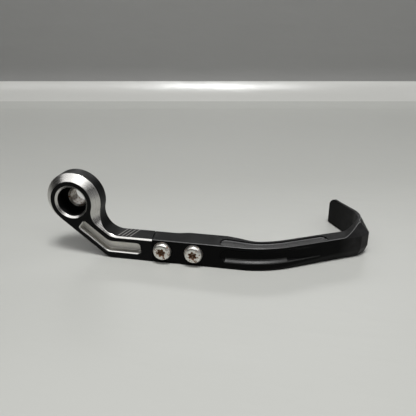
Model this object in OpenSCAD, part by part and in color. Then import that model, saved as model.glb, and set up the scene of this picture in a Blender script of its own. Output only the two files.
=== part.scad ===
// Brake lever guard for the right bar end of a motorbike. Millimetres, +Z up.
// The origin is on the axis of the bar-end bore, on the face that seats against the bar end.
// +X runs forward along the arm, +Y runs inboard along the handlebar.

/* [Eye] */
// Diameter of the eye round the bar-end bore
eye_d = 29; // [26:0.5:34]
// Thickness of the arm, across the eye and along the bar
arm_t = 10.8; // [9.5:0.1:14]
// Width of the bright bevel round the eye
bevel_w = 3.5; // [2:0.1:4.5]
// Diameter of the counterbore that takes the bolt head
counterbore_d = 15.4; // [13:0.1:16.6]
// Depth of the counterbore
counterbore_depth = 8.2; // [5:0.1:8.6]
// Width of the chamfer round the mouth of the counterbore
mouth_chamfer = 1; // [0.4:0.1:1.8]

/* [Bush] */
// Bore for the bar-end bolt
bolt_bore_d = 9; // [8:0.1:10]
// Diameter of the spigot that is pressed into the eye
spigot_d = 10.6; // [10.2:0.1:12.8]
// Diameter of the collar behind the eye
collar_d = 18; // [14:0.5:22]
// Thickness of the collar
collar_t = 5.2; // [2:0.1:8]
// Chamfer at the front mouth of the bush bore
bush_chamfer = 0.7; // [0.2:0.1:0.8]

/* [Arm] */
// Height of the bar part of the arm
arm_h = 12.4; // [11.8:0.1:14]
// Drop from the bore axis to the lower edge of the arm
drop = 29.2; // [27:0.1:34]
// Radius of the neck between the eye and the bar
neck_r = 10.5; // [8:0.1:13]
// Width of the slanted leg, from its lower edge to the inside of the bevel
leg_w = 10.6; // [9.6:0.1:11]
// Radius of the bends along the inside of the bevel
neck_bevel_r = 8; // [6:0.5:10.5]
// Angle of the slanted lower edge below the horizontal
slant_a = 39; // [35:0.5:44]
// Radius of the heel between the slanted edge and the lower edge
heel_r = 6; // [2:0.5:9]
// Radius that blends the eye into the slanted edge
eye_blend_r = 7; // [5:0.5:8]
// Chamfer along the thin front edges of the arm
edge_chamfer = 0.6; // [0.2:0.1:1]
// Chamfer along the straight top edge
top_chamfer = 0.8; // [0.4:0.1:1.2]
// Forward reach of the arm to the joint with the blade, on the front face
seam_x = 41.7; // [38:0.1:43]
// How far the joint leans back across the thickness of the arm
seam_lean = 1.3; // [0:0.1:4]

/* [Slot] */
// Depth of the milled slot in the front face
slot_depth = 3.4; // [1:0.1:4]
// Width of the slanted leg of the slot
slot_slant_w = 4.6; // [3:0.1:5.6]
// Height of the level leg of the slot
slot_level_h = 5.3; // [4:0.1:6.6]
// Rim left between the slot and the slanted edge
slot_slant_rim = 3.1; // [1.5:0.1:4]
// Rim left between the slot and the lower edge
slot_low_rim = 3.9; // [2:0.1:4.6]
// Distance from the bore axis to the upper end of the slot, along the slant
slot_start = 11; // [10.4:0.1:14]
// Distance from the slot's end to the joint
slot_end_gap = 6.6; // [5.6:0.1:10]
// Radius of the corners at the upper end of the slot
slot_corner_r = 0.9; // [0.5:0.1:2]
// Radius of the corners at the forward end of the slot
slot_end_r = 1.5; // [0.6:0.1:2.4]
// Chamfer round the rim of the slot
slot_chamfer = 0.5; // [0.1:0.1:0.8]

/* [Tongue and screws] */
// Length of the tongue inside the blade
tongue_l = 31; // [28:0.5:34]
// Thickness of the tongue
tongue_t = 5.2; // [4:0.1:5.6]
// Height of the tongue
tongue_h = 8; // [7:0.1:8.6]
// Front wall of the blade root, which the screws clamp
root_wall = 3; // [2.4:0.1:3.4]
// Clearance round the tongue in its pocket
tongue_gap = 0.15; // [0.05:0.05:0.3]
// Clearance past the end of the tongue
tongue_end_gap = 1; // [0.5:0.1:2]
// Clearance between the arm and the blade at the joint
seam_gap = 0.12; // [0.05:0.01:0.3]
// Distance from the joint to the first screw
screw_first = 5.4; // [4.8:0.1:8]
// Distance between the two screws
screw_pitch = 16.1; // [14:0.1:18]
// Height of the screws above the middle of the arm
screw_rise = 0.7; // [0:0.1:0.8]
// Thread diameter of the screws
screw_d = 5; // [4:0.5:5]
// Length of the screws under the head
screw_l = 8; // [7:0.5:8]
// Diameter of the button heads
head_d = 9.5; // [8:0.1:9.6]
// Height of the button heads
head_h = 2.75; // [2:0.05:3.2]
// Size of the six-lobe recess across its points
drive_d = 4.5; // [3:0.1:5]
// Height of the straight rim under the dome of the heads
head_rim = 0.35; // [0.2:0.05:0.6]
// Depth of the six-lobe recess
drive_depth = 1.6; // [1:0.1:1.9]
// Clearance hole through the front wall
screw_hole_d = 5.4; // [5.2:0.1:6]
// Clearance between a thread and its hole
thread_gap = 0.05; // [0.02:0.01:0.1]

/* [Blade in plan] */
// Distance from the bore axis to the corner of the first bend, on the outer face
bend_x = 99.7; // [90:0.5:115]
// Angle of the first bend
bend_a = 29.5; // [20:0.5:38]
// Radius of the first bend, on the outer face
bend_r = 50; // [30:1:60]
// Length from the first bend to the end corner, along the outer face
mid_len = 52.5; // [48:0.5:66]
// Turn into the first facet of the end corner
near_turn = 23.5; // [18:0.5:28]
// Length of the first facet
near_facet = 7.1; // [6:0.1:9]
// Turn from the first facet to the second
mid_turn = 44; // [38:0.5:46]
// Length of the second facet
far_facet = 20.6; // [19:0.1:23]
// Turn from the second facet into the end plate
far_turn = 23.5; // [18:0.5:26]
// Radius between the facets of the corner
facet_r = 2.5; // [1:0.1:4]
// Radius inside the end corner
inner_corner_r = 14; // [11:0.5:15]
// Length of the end plate, along the outer face
tip_len = 23.3; // [20:0.1:36]

/* [Blade section] */
// Thickness of the blade along its middle
blade_t = 8.3; // [7.4:0.1:9]
// Thickness of the blade where its root swells behind the screws
swell_t = 12.4; // [11:0.1:14]
// Distance from the joint to the swelling
swell_from = 9.5; // [8:0.1:12]
// Length over which the root swells
swell_len = 8; // [4:0.5:10]
// Distance from the joint to where the root thins again
thin_from = 34.5; // [32.5:0.1:38]
// Length over which the root thins
thin_len = 21; // [14:0.5:26]
// Thickness of the end plate
tip_t = 5.8; // [5.6:0.1:7]
// Height of the end plate at the corner
tip_h = 16.3; // [15:0.1:17.2]
// Length of the ramp by which the upper edge rises to the end plate, along X
ramp_l = 8.4; // [6:0.1:12]
// Distance from the foremost edge of the corner to the top of the ramp
ramp_gap = 5; // [3:0.1:8]
// How much the end plate loses in height towards its free end
tip_fall = 0.8; // [0:0.1:3]
// Radius of the upper corner of the free end
tip_r = 4.5; // [2:0.1:6]
// Radius of the lower corner of the free end
tip_low_r = 1.2; // [0.6:0.1:2]
// How much wider than high the slanted facet lies at the middle of the end corner
facet_spread = 0.3; // [0:0.05:0.4]
// Least width of the flat top between the slanted facet and the inner face
strip_w = 1.6; // [1:0.1:2]
// Small chamfer along the moulded edges
mould_edge = 0.4; // [0.2:0.1:0.5]
// Width of the lower bevel at the end corner
low_bevel_w = 1.7; // [1:0.1:2.4]
// Height of the lower bevel at the end corner
low_bevel_h = 4.6; // [2:0.1:4.8]

/* [Blade panel and channel] */
// Distance from the joint to the recessed panel on the front
panel_start = 34.5; // [34:0.5:38]
// Length of the recessed panel
panel_l = 55; // [45:0.5:60]
// Depth of the recessed panel
panel_depth = 1.4; // [0.5:0.1:1.6]
// Height of the ledge under the panel at its start
panel_low = 3.7; // [3.7:0.1:4.5]
// Height of the ledge where the panel runs out
panel_low_end = 4.9; // [4.9:0.1:5.5]
// Height of the panel's upper edge
panel_high = 11; // [9:0.1:11.2]
// Width of the sloping edges of the panel
panel_slope = 1.3; // [0.2:0.1:1.4]
// Distance from the joint to the channel along the top
channel_start = 34; // [32:0.5:40]
// Length of the channel along the top
channel_l = 57.5; // [44:0.5:60]
// Depth of the channel along its back
channel_depth = 1.1; // [0.4:0.1:1.6]
// Share of the channel's width at which its floor steepens
channel_bend = 0.6; // [0.3:0.05:0.7]
// Share of the channel's depth that it has there
channel_shoal = 0.4; // [0.2:0.05:0.6]
// Width of the channel
channel_w = 5.8; // [3:0.1:6.2]
// Width of the rim in front of the channel
channel_rim = 0.6; // [0.5:0.1:1.2]
// Width of the steep back wall of the channel
channel_slope = 0.4; // [0.2:0.1:0.6]

/* [Hidden] */
$fn = 96;

eye_r = eye_d / 2;
front_y = -arm_t - collar_t;
low_z = -drop;
top_z = low_z + arm_h;
over = 0.5;
sliver = 0.05;
// Tiny overlap by which arcs cross the lines and arcs that they run into
nudge = 0.002;
// Larger overlap for the neck's arc, which takes the arm's outline away
bite = 0.01;
press_gap = 0.02;
// Directions in the front view: towards +Z, -X and -Z
up = 90;
left = 180;
down = 270;
// Turn between the points of a round edge, in degrees
round_step = 15;

// The slanted edge runs tangent to the inside of the bevel
slant_n = down - slant_a;
slant_off = eye_r - bevel_w + edge_chamfer;
slot_run = seam_x - slot_end_gap;

// Centre of an arc of radius r that touches a circle of radius c round the bore and a level line at z
function neck_at(r, c, z) = [sqrt(pow(c + r, 2) - pow(z + r, 2)), z + r];
// Point at a distance d from the bore along the direction a
function polar(d, a) = [d * cos(a), d * sin(a)];
// Point at a distance along the slant and a distance square to it
function on_slant(along, off) = polar(along, -slant_a) + polar(off, slant_n);
// Where a line parallel to the slanted edge, off from the bore, reaches the height z
function slant_x(off, z) = (off - z * sin(slant_n)) / cos(slant_n);

neck = neck_at(neck_r, eye_r, top_z);
neck_a = atan2(neck.y, neck.x);

// Inside of the bevel: round the eye, then a bend, the slanted leg, another bend and the level top
inner_r = eye_r - bevel_w;
inner_top_z = top_z - top_chamfer;
bend_off = slant_off - leg_w - neck_bevel_r;
upper_neck = on_slant(sqrt(pow(inner_r + neck_bevel_r, 2) - pow(bend_off, 2)), bend_off);
upper_neck_a = atan2(upper_neck.y, upper_neck.x);
lower_neck = [slant_x(bend_off, inner_top_z + neck_bevel_r), inner_top_z + neck_bevel_r];

heel = [slant_x(slant_off - heel_r, low_z + heel_r), low_z + heel_r];
blend_a = slant_n - acos((slant_off - eye_blend_r) / (eye_r - eye_blend_r));
blend = polar(eye_r - eye_blend_r, blend_a);

// Smooth step from 0 to 1 as u goes from 0 to 1
function ease(u) = u <= 0 ? 0 : u >= 1 ? 1 : u * u * (3 - 2 * u);
// Quarter of a circle from 0 to 1, steep at first
function quarter(u) = u <= 0 ? 0 : u >= 1 ? 1 : sqrt(1 - pow(1 - u, 2));

// Turns a drawing in X and Z into place: its +z comes out of the arm's front face
module on_front() translate([0, front_y, 0]) rotate([90, 0, 0]) children();

// Outline of the arm, as lines and true arcs
module arm_outline() {
    far = 2 * eye_r;
    spokes = 4;
    difference() {
        union() {
            polygon([
                polar(over, (neck_a + blend_a) / 2), neck, [neck.x, top_z], [seam_x + over, top_z], [seam_x + over, low_z],
                [heel.x, low_z], heel, heel + polar(heel_r, slant_n),
                blend + polar(eye_blend_r, slant_n), blend
            ]);
            translate(heel) circle(heel_r + nudge);
            translate(blend) circle(eye_blend_r + nudge);
            intersection() {
                circle(eye_r);
                polygon([
                    [0, 0],
                    for (k = [0 : spokes]) polar(far, neck_a + (blend_a - neck_a) * k / spokes)
                ]);
            }
        }
        translate(neck) circle(neck_r + bite);
    }
}

// Section of the cutter for the front bevel: x is outwards from the bevel's inner edge
module bevel_section(reach) {
    polygon([[-over, over], [reach, -reach], [reach, over]]);
}

// Straight stretch of the bevel from p along the angle a, with the outside on its left
module bevel_line(p, a, run, reach) {
    translate(p) rotate(a) rotate([90, 0, 90]) linear_extrude(run) bevel_section(reach);
}

// Round stretch of the bevel about c, from angle a1 to a2; side is -1 where the outside is at c
module bevel_arc(c, r, a1, a2, reach, side = 1) {
    translate(c) rotate(a1) rotate_extrude(angle = a2 - a1)
        translate([r + nudge, 0]) scale([side, 1]) bevel_section(reach);
}

// The bevel round the front of the arm: wide at the eye, thin along the straight edges.
// Stretches overlap only where they lie outside the arm.
module front_bevel() {
    reach = bevel_w + over;
    back = left - slant_a;
    foot = polar(inner_r, slant_n) + polar(over, back);
    heel_end = heel + polar(heel_r - edge_chamfer, slant_n) - polar(over, back);
    // Degrees by which the round stretches run past their ends
    lap = 4;
    bevel_line([lower_neck.x, inner_top_z], 0, seam_x + over - lower_neck.x, reach);
    bevel_arc(lower_neck, neck_bevel_r, slant_n - lap, down + lap, reach, -1);
    bevel_line(
        upper_neck + polar(neck_bevel_r, slant_n), -slant_a, norm(lower_neck - upper_neck), reach
    );
    bevel_arc(upper_neck, neck_bevel_r, left + upper_neck_a - lap, slant_n + lap, reach, -1);
    bevel_arc([0, 0], inner_r, upper_neck_a, slant_n, reach);
    bevel_line(heel_end, back, norm(foot - heel_end), reach);
    bevel_arc(heel, heel_r - edge_chamfer, slant_n, down, reach);
    bevel_line([seam_x + over, low_z + edge_chamfer], left, seam_x + 2 * over - heel.x, reach);
}

// A polygon with each corner rounded to its own radius, as points
function rounded(p, r, steps = 8) = [
    for (i = [0 : len(p) - 1])
        let (
            a = p[(i + len(p) - 1) % len(p)] - p[i],
            b = p[(i + 1) % len(p)] - p[i],
            ua = a / norm(a),
            ub = b / norm(b),
            half = acos(ua * ub) / 2,
            mid = (ua + ub) / norm(ua + ub),
            c = p[i] + mid * r[i] / sin(half),
            from = p[i] + ua * r[i] / tan(half) - c,
            to = p[i] + ub * r[i] / tan(half) - c
        )
        for (k = [0 : steps])
            let (m = from * (1 - k / steps) + to * (k / steps))
            c + m / norm(m) * r[i]
];

// Corners of the slot, grown by g on every side
function slot_points(g) =
    let (
        low_off = slant_off - slot_slant_rim + g,
        high_off = slant_off - slot_slant_rim - slot_slant_w - g,
        z1 = low_z + slot_low_rim - g,
        z2 = low_z + slot_low_rim + slot_level_h + g,
        start = slot_start - g,
        end = slot_run + g
    )
    rounded(
        [
            on_slant(start, low_off), [slant_x(low_off, z1), z1], [end, z1],
            [end, z2], [slant_x(high_off, z2), z2], on_slant(start, high_off)
        ],
        [slot_corner_r + g, heel_r / 2, slot_end_r + g, slot_end_r + g, heel_r, slot_corner_r + g]
    );

// Milled slot with a chamfered rim, as three stacked outlines
module slot() {
    rings = [
        [for (p = slot_points(slot_chamfer + over)) [p.x, p.y, over]],
        [for (p = slot_points(0)) [p.x, p.y, -slot_chamfer]],
        [for (p = slot_points(0)) [p.x, p.y, -slot_depth]]
    ];
    n = len(rings[0]);
    polyhedron(
        points = [for (ring = rings) each ring],
        faces = [
            [for (i = [0 : n - 1]) n - 1 - i],
            for (k = [0, 1], i = [0 : n - 1])
                [k * n + i, k * n + (i + 1) % n, (k + 1) * n + (i + 1) % n, (k + 1) * n + i],
            [for (i = [0 : n - 1]) 2 * n + i]
        ]
    );
}

// Space left for the body of the arm in plan, up to the leaning joint
module arm_plan() {
    back_y = front_y + arm_t;
    translate([0, 0, low_z - over]) linear_extrude(drop + eye_d) polygon([
        [-eye_d, front_y - over], [seam_x + seam_lean * over / arm_t, front_y - over],
        [seam_x - seam_lean * (1 + over / arm_t), back_y + over], [-eye_d, back_y + over]
    ]);
}

tongue_y = front_y + root_wall;
tongue_z = low_z + (arm_h - tongue_h) / 2;
screw_z = low_z + arm_h / 2 + screw_rise;
screw_x = [seam_x + screw_first, seam_x + screw_first + screw_pitch];

// The tongue starts inside the arm, behind the leaning joint
module tongue(gap = 0, extra = 0) {
    root = arm_t / 2;
    translate([seam_x - root, tongue_y, tongue_z - gap])
        cube([root + tongue_l + extra, tongue_t + gap, tongue_h + 2 * gap]);
}

module mount_arm() {
    color("#1b1b1d") difference() {
        union() {
            difference() {
                intersection() {
                    on_front() translate([0, 0, -arm_t]) linear_extrude(arm_t) arm_outline();
                    arm_plan();
                }
                on_front() front_bevel();
                on_front() slot();
            }
            tongue();
        }
        on_front() translate([0, 0, -counterbore_depth])
            cylinder(h = counterbore_depth + over, d = counterbore_d);
        on_front() translate([0, 0, -mouth_chamfer])
            cylinder(h = mouth_chamfer, d1 = counterbore_d, d2 = counterbore_d + 2 * mouth_chamfer);
        on_front() translate([0, 0, -arm_t - over])
            cylinder(h = arm_t, d = spigot_d + 2 * press_gap);
        for (x = screw_x)
            on_front() translate([x, screw_z, -arm_t - over])
                cylinder(h = arm_t, d = screw_d);
    }
}

// Turned bush: a spigot through the web of the eye and a collar behind it
module bar_end_bush() {
    spigot_l = arm_t - counterbore_depth;
    bore_r = bolt_bore_d / 2;
    color("#8d8a84") rotate([90, 0, 0]) rotate_extrude() polygon([
        [bore_r, 0],
        [collar_d / 2 - mould_edge, 0],
        [collar_d / 2, mould_edge],
        [collar_d / 2, collar_t],
        [spigot_d / 2, collar_t],
        [spigot_d / 2, collar_t + spigot_l],
        [bore_r + bush_chamfer, collar_t + spigot_l],
        [bore_r, collar_t + spigot_l - bush_chamfer]
    ]);
}

// Poses along the outer face in plan, each as x, y and heading
function go(p, run) = [p.x + run * cos(p.z), p.y + run * sin(p.z), p.z];
function turn(p, r, a) = [
    p.x + r * (sin(p.z + a) - sin(p.z)), p.y - r * (cos(p.z + a) - cos(p.z)), p.z + a
];

root_x = seam_x + seam_gap;

// Legs of the outer face: length between corners, then the turn at the far corner and its radius
legs = [
    [bend_x - root_x, bend_a, bend_r],
    [mid_len, near_turn, facet_r],
    [near_facet, mid_turn, facet_r],
    [far_facet, far_turn, facet_r],
    [tip_len, 0, 0]
];
last_leg = len(legs) - 1;

// Length that the round of corner i takes from each of its legs
function cut(i) = i < 0 ? 0 : legs[i][2] * tan(legs[i][1] / 2);
// Straight stretch of leg i
function run(i) = legs[i][0] - cut(i - 1) - cut(i);
// Length of the round at the end of leg i
function arc(i) = legs[i][2] * legs[i][1] * PI / 180;
// Distance from the joint to the straight stretch of leg i
function start(i) = i == 0 ? 0 : start(i - 1) + run(i - 1) + arc(i - 1);
// Pose at the start of leg i
function pose(i) =
    i == 0
    ? [root_x, front_y, 0]
    : turn(go(pose(i - 1), run(i - 1)), legs[i - 1][2], legs[i - 1][1]);

starts = [for (i = [0 : last_leg]) start(i)];
poses = [for (i = [0 : last_leg]) pose(i)];
blade_l = starts[last_leg] + run(last_leg);

// Pose on the outer face at the distance d from the joint
function face(d) =
    let (
        i = max([for (k = [0 : last_leg]) if (d >= starts[k]) k]),
        past = d - starts[i] - run(i)
    )
    past <= 0 || i == last_leg
    ? go(poses[i], d - starts[i])
    : turn(go(poses[i], run(i)), legs[i][2], past / arc(i) * legs[i][1]);

// Point at the depth t behind a pose, towards the inside of the guard
function behind(p, t) = [p.x - t * sin(p.z), p.y + t * cos(p.z), p.z];

// Inner corner, in a frame that lies along the middle leg with its origin at the first bend
corner_a = near_turn + mid_turn + far_turn;
far_corner =
    [mid_len, 0] + polar(near_facet, near_turn) + polar(far_facet, near_turn + mid_turn);
inner_back = (blade_t - far_corner.y - tip_t * cos(corner_a)) / sin(corner_a);
inner_vertex = far_corner.x - tip_t * sin(corner_a) + inner_back * cos(corner_a);
inner_cut = inner_corner_r * tan(corner_a / 2);
corner_from = starts[1] - cut(0) + inner_vertex - inner_cut;
corner_to = starts[last_leg] - cut(last_leg - 1) + inner_back + inner_cut;
inner_pose = behind(face(corner_from), blade_t);

// Thickness of the blade before the end corner, at the distance d
function thick(d) =
    arm_t
    + (swell_t - arm_t) * ease((d - swell_from) / swell_len)
    - (swell_t - blade_t) * ease((d - thin_from) / thin_len);

// Pose on the inner face that belongs to the distance d; the first one leans with the joint
function inner(d) =
    d == 0 ? behind(face(0), arm_t) - [seam_lean, 0, 0]
    : d <= corner_from ? behind(face(d), thick(d))
    : d < corner_to
    ? turn(inner_pose, inner_corner_r, corner_a * (d - corner_from) / (corner_to - corner_from))
    : behind(face(d), tip_t);

crease_z = arm_h - mould_edge;
ramp_to = face(starts[3]).x - ramp_gap;
// Distance at which the inside of the corner turns back; the upper edge has its full height from there
turn_d = corner_from + (corner_to - corner_from) * (up - bend_a) / corner_a;

// Poses on both faces at the distance d, the thickness between them, and d itself
function station(d) =
    let (a = face(d), b = inner(d)) [a, b, norm([b.x - a.x, b.y - a.y]), d];
// Point in plan at the depth x behind the outer face
function plan(s, x) = [for (k = [0, 1]) s[0][k] + (s[1][k] - s[0][k]) * x / s[2]];
// How much the free end has taken off the height at the distance d
function fall(d) =
    tip_fall * max(0, d - starts[last_leg]) / run(last_leg)
    + tip_r * (1 - quarter((blade_l - d) / tip_r));
// Height of the upper edge at the depth x
function high(s, x) =
    arm_h
    + (tip_h - arm_h) * (s[3] > turn_d ? 1 : ease((plan(s, x).x - ramp_to) / ramp_l + 1))
    - fall(s[3]);
// Height of the lower edge: level, with a rounded corner at the free end
function low(d) = tip_low_r * (1 - quarter((blade_l - d) / tip_low_r));
// How many times as wide as high the slanted facet is at the distance d: 1 outside the end corner
function spread_at(d) =
    1 + facet_spread * ease((d - corner_from) / near_facet) * ease((turn_d - d) / near_facet);
// Width of the slanted facet above the crease, settled in n rounds because the upper edge rises
function facet_w(s, crease, n = 8) =
    n == 0
    ? mould_edge
    : max(mould_edge, (high(s, facet_w(s, crease, n - 1)) - crease) * spread_at(s[3]));

// How far a recess of the length l has opened, with rounded ends of the radius r
function open(d, from, l, r) = min(quarter((d - from) / r), quarter((from + l - d) / r));

// Share of a recess's height that stays drawn on the surface where it is closed
closed = 0.3;
panel_r = (panel_high - panel_low) / 2;

// Section of the blade at a station: x is inwards from the outer face, y is the height
function section(s) =
    let (
        d = s[3],
        t = s[2],
        e = mould_edge,
        z0 = low(d),
        grow = ease((d - run(0)) / (corner_from - run(0))),
        bw = e + (low_bevel_w - e) * grow,
        bh = e + (low_bevel_h - e) * grow,
        crease = min(crease_z, high(s, 0) - e),
        facet = min(facet_w(s, crease), t - e - strip_w),
        along = min(1, max(0, (d - panel_start) / panel_l)),
        ledge = panel_low + (panel_low_end - panel_low) * along,
        wide = open(d, panel_start, panel_l, panel_r),
        g = panel_depth * wide * (1 - ease(2 * along - 1)),
        mid = (ledge + panel_high) / 2,
        reach = (panel_high - ledge) / 2 * max(wide, closed),
        g_low = max(z0 + bh + sliver, mid - reach),
        g_high = min(crease - sliver, mid + reach),
        slope = min(panel_slope, reach / 3),
        spread = open(d, channel_start, channel_l, channel_w / 2),
        c = channel_depth * min(1, 2 * spread),
        flat = t - e - facet,
        room = min(channel_w, flat - channel_rim) / 2,
        slim = room < channel_rim,
        c_mid = facet + (slim ? flat / 2 : channel_rim - e + room),
        c_half = (slim ? flat / 4 : room) * max(spread, closed),
        c_slope = min(channel_slope, c_half / 2)
    )
    [
        [bw, z0],
        [0, z0 + bh],
        [0, g_low],
        [g, g_low + slope],
        [g, g_high - slope],
        [0, g_high],
        [0, crease],
        [facet, high(s, facet)],
        for (q = [
            [c_mid - c_half, 0], [c_mid + c_half * (2 * channel_bend - 1), c * channel_shoal],
            [c_mid + c_half - c_slope, c], [c_mid + c_half, 0]
        ])
            [q.x, high(s, q.x) - q.y],
        [t - e, high(s, t - e)],
        [t, high(s, t) - e],
        [t, z0 + e],
        [t - e, z0]
    ];

// Section at d in its place: its points lie on the line from the outer face to the inner one
function placed(d) =
    let (s = station(d)) [for (q = section(s)) let (p = plan(s, q.x)) [p.x, p.y, low_z + q.y]];

// Values in rising order, without those that lie within a sliver of the one before
function sorted(v) =
    len(v) < 2
    ? v
    : let (m = v[floor(len(v) / 2)])
      concat(sorted([for (x = v) if (x < m) x]), [m], sorted([for (x = v) if (x > m) x]));
function spaced(v) = [for (i = [0 : len(v) - 1]) if (i == 0 || v[i] - v[i - 1] > sliver) v[i]];

// Distances of the sections, closer together where the shape changes fast
function even(a, b, n) = [for (i = [0 : n]) a + (b - a) * i / n];
round_steps = [for (a = [0 : round_step : up]) 1 - cos(a)];
stations = spaced(sorted(concat(
    [0, swell_from / 2, corner_from, corner_to],
    even(swell_from, swell_from + swell_len, 6),
    [for (u = round_steps) panel_start + u * panel_r],
    [for (u = round_steps) channel_start + u * channel_w / 2],
    [for (u = round_steps) channel_start + channel_l - u * channel_w / 2],
    even(thin_from, thin_from + thin_len, 6),
    even(run(0), starts[1], 8),
    even(starts[1], corner_from - ramp_l, 6),
    even(corner_from - ramp_l, corner_to, 16),
    [for (i = [1 : last_leg - 1]) each even(starts[i] + run(i), starts[i + 1], 3)],
    even(starts[last_leg], blade_l - tip_r, 3),
    [for (u = round_steps) blade_l - u * tip_r],
    [blade_l]
)));

// The moulding before its pocket and holes are cut
module blade_body() {
    sections = [for (d = stations) placed(d)];
    n = len(sections[0]);
    last = len(sections) - 1;
    polyhedron(
        points = [for (s = sections) each s],
        faces = [
            [for (i = [0 : n - 1]) n - 1 - i],
            for (k = [0 : last - 1], i = [0 : n - 1])
                let (a = k * n + i, b = k * n + (i + 1) % n)
                each [[a, b, b + n], [a, b + n, a + n]],
            [for (i = [0 : n - 1]) last * n + i]
        ]
    );
}

module guard_blade() {
    color("#2a2a2b") difference() {
        blade_body();
        tongue(tongue_gap, tongue_end_gap);
        for (x = screw_x)
            on_front() translate([x, screw_z, -root_wall - over])
                cylinder(h = root_wall + 2 * over, d = screw_hole_d);
    }
}

// Button-head screw with a six-lobe recess, its head on the front of the blade
module button_screw(x) {
    lobes = 6;
    lobe_r = drive_d / 7;
    crown_r = drive_d / 2 + lobe_r;
    color("#b9b3a6") on_front() translate([x, screw_z, 0]) difference() {
        union() {
            rotate_extrude() polygon([
                [0, 0],
                [head_d / 2, 0],
                for (a = [0 : round_step : up])
                    [
                        crown_r + (head_d / 2 - crown_r) * cos(a),
                        head_rim + (head_h - head_rim) * sin(a)
                    ],
                [0, head_h]
            ]);
            translate([0, 0, -screw_l]) cylinder(h = screw_l, d = screw_d - 2 * thread_gap);
        }
        translate([0, 0, head_h - drive_depth]) linear_extrude(drive_depth + over) {
            circle(d = drive_d - 2 * lobe_r);
            for (i = [0 : lobes - 1])
                rotate(i * 360 / lobes) translate([drive_d / 2 - lobe_r, 0]) circle(lobe_r);
        }
    }
}

module screw_near_eye() {
    button_screw(screw_x[0]);
}

module screw_near_bend() {
    button_screw(screw_x[1]);
}

mount_arm();
bar_end_bush();
guard_blade();
screw_near_eye();
screw_near_bend();
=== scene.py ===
import bmesh
import bpy
import numpy as np
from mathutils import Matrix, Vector

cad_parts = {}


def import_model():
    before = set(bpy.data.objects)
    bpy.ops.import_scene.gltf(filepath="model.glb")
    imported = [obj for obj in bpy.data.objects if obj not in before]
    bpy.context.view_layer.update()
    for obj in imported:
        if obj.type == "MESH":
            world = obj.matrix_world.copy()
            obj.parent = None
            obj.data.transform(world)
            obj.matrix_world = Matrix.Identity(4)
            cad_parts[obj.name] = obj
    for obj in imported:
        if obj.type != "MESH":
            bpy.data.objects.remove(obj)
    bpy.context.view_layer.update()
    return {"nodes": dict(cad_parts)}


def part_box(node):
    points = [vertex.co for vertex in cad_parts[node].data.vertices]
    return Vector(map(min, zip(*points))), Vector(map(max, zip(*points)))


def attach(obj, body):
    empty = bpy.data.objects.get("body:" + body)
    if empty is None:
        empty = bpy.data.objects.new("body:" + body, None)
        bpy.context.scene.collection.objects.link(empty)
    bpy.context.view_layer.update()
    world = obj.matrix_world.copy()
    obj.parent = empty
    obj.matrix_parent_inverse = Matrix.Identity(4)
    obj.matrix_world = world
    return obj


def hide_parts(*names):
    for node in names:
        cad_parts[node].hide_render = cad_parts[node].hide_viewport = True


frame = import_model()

mm = 0.001  # sizes in the dictionaries are millimetres and degrees
print("frame loaded:", ", ".join(sorted(frame["nodes"])))

armLow, armHigh = (np.array(p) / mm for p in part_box("mount_arm"))
frontY, backY, lowZ = armLow[1], armHigh[1], armLow[2]
armT = backY - frontY


def ease(u):
    # 3u^2 - 2u^3 between 0 and 1
    u = np.clip(u, 0, 1)
    return u * u * (3 - 2 * u)


def quarter(u):
    # quarter of a circle from 0 to 1, steep at first
    return np.sqrt(1 - (1 - np.clip(u, 0, 1)) ** 2)


def polar(radius, angle):
    # point at a radius and an angle in degrees
    turn = np.radians(angle)
    return np.stack((radius * np.cos(turn), radius * np.sin(turn)), -1)


def roundCorners(chains, radii, steps=4, wrap=False):
    # chains is (chain, corner, axis). Corner b between a and c becomes the curve
    # (1-u)^2 (b + r to a) + 2u(1-u) b + u^2 (b + r to c), r being at most 0.45 of each side
    towardsA = np.roll(chains, 1, axis=1) - chains
    towardsC = np.roll(chains, -1, axis=1) - chains
    lengthA = np.linalg.norm(towardsA, axis=2, keepdims=True)
    lengthC = np.linalg.norm(towardsC, axis=2, keepdims=True)
    r = np.broadcast_to(np.asarray(radii, float), chains.shape[1])[None, :, None]
    a = chains + towardsA / np.maximum(lengthA, 1e-9) * np.minimum(r, 0.45 * lengthA)
    c = chains + towardsC / np.maximum(lengthC, 1e-9) * np.minimum(r, 0.45 * lengthC)
    u = np.linspace(0, 1, steps)[None, None, :, None]
    curve = (1 - u) ** 2 * a[:, :, None] + 2 * u * (1 - u) * chains[:, :, None] + u ** 2 * c[:, :, None]
    curve = curve.reshape(chains.shape[0], -1, chains.shape[2])
    if wrap:
        return curve
    return np.concatenate((chains[:, :1], curve[:, steps:-steps], chains[:, -1:]), axis=1)


def sheet(points, slots=0, wrapAlong=False, wrapAcross=False):
    # grid of points (along, across, xyz) in millimetres; slots gives each strip across its material
    along, across = points.shape[:2]
    i, j = np.meshgrid(
        np.arange(along if wrapAlong else along - 1),
        np.arange(across if wrapAcross else across - 1),
        indexing="ij",
    )
    nextI, nextJ = (i + 1) % along, (j + 1) % across
    faces = np.stack((i * across + j, nextI * across + j, nextI * across + nextJ, i * across + nextJ), -1)
    strip = np.linalg.norm(np.diff(points, axis=0, prepend=points[:1]), axis=2).cumsum(0)
    cross = np.linalg.norm(np.diff(points, axis=1, prepend=points[:, :1]), axis=2).cumsum(1)
    material = np.broadcast_to(np.asarray(slots), i.shape)
    return {
        "points": points.reshape(-1, 3) * mm,
        "faces": faces.reshape(-1, 4),
        "slots": material.reshape(-1),
        "uv": np.stack((strip.mean(1)[:, None] + 0 * strip, cross), -1).reshape(-1, 2) * mm,
    }


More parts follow.
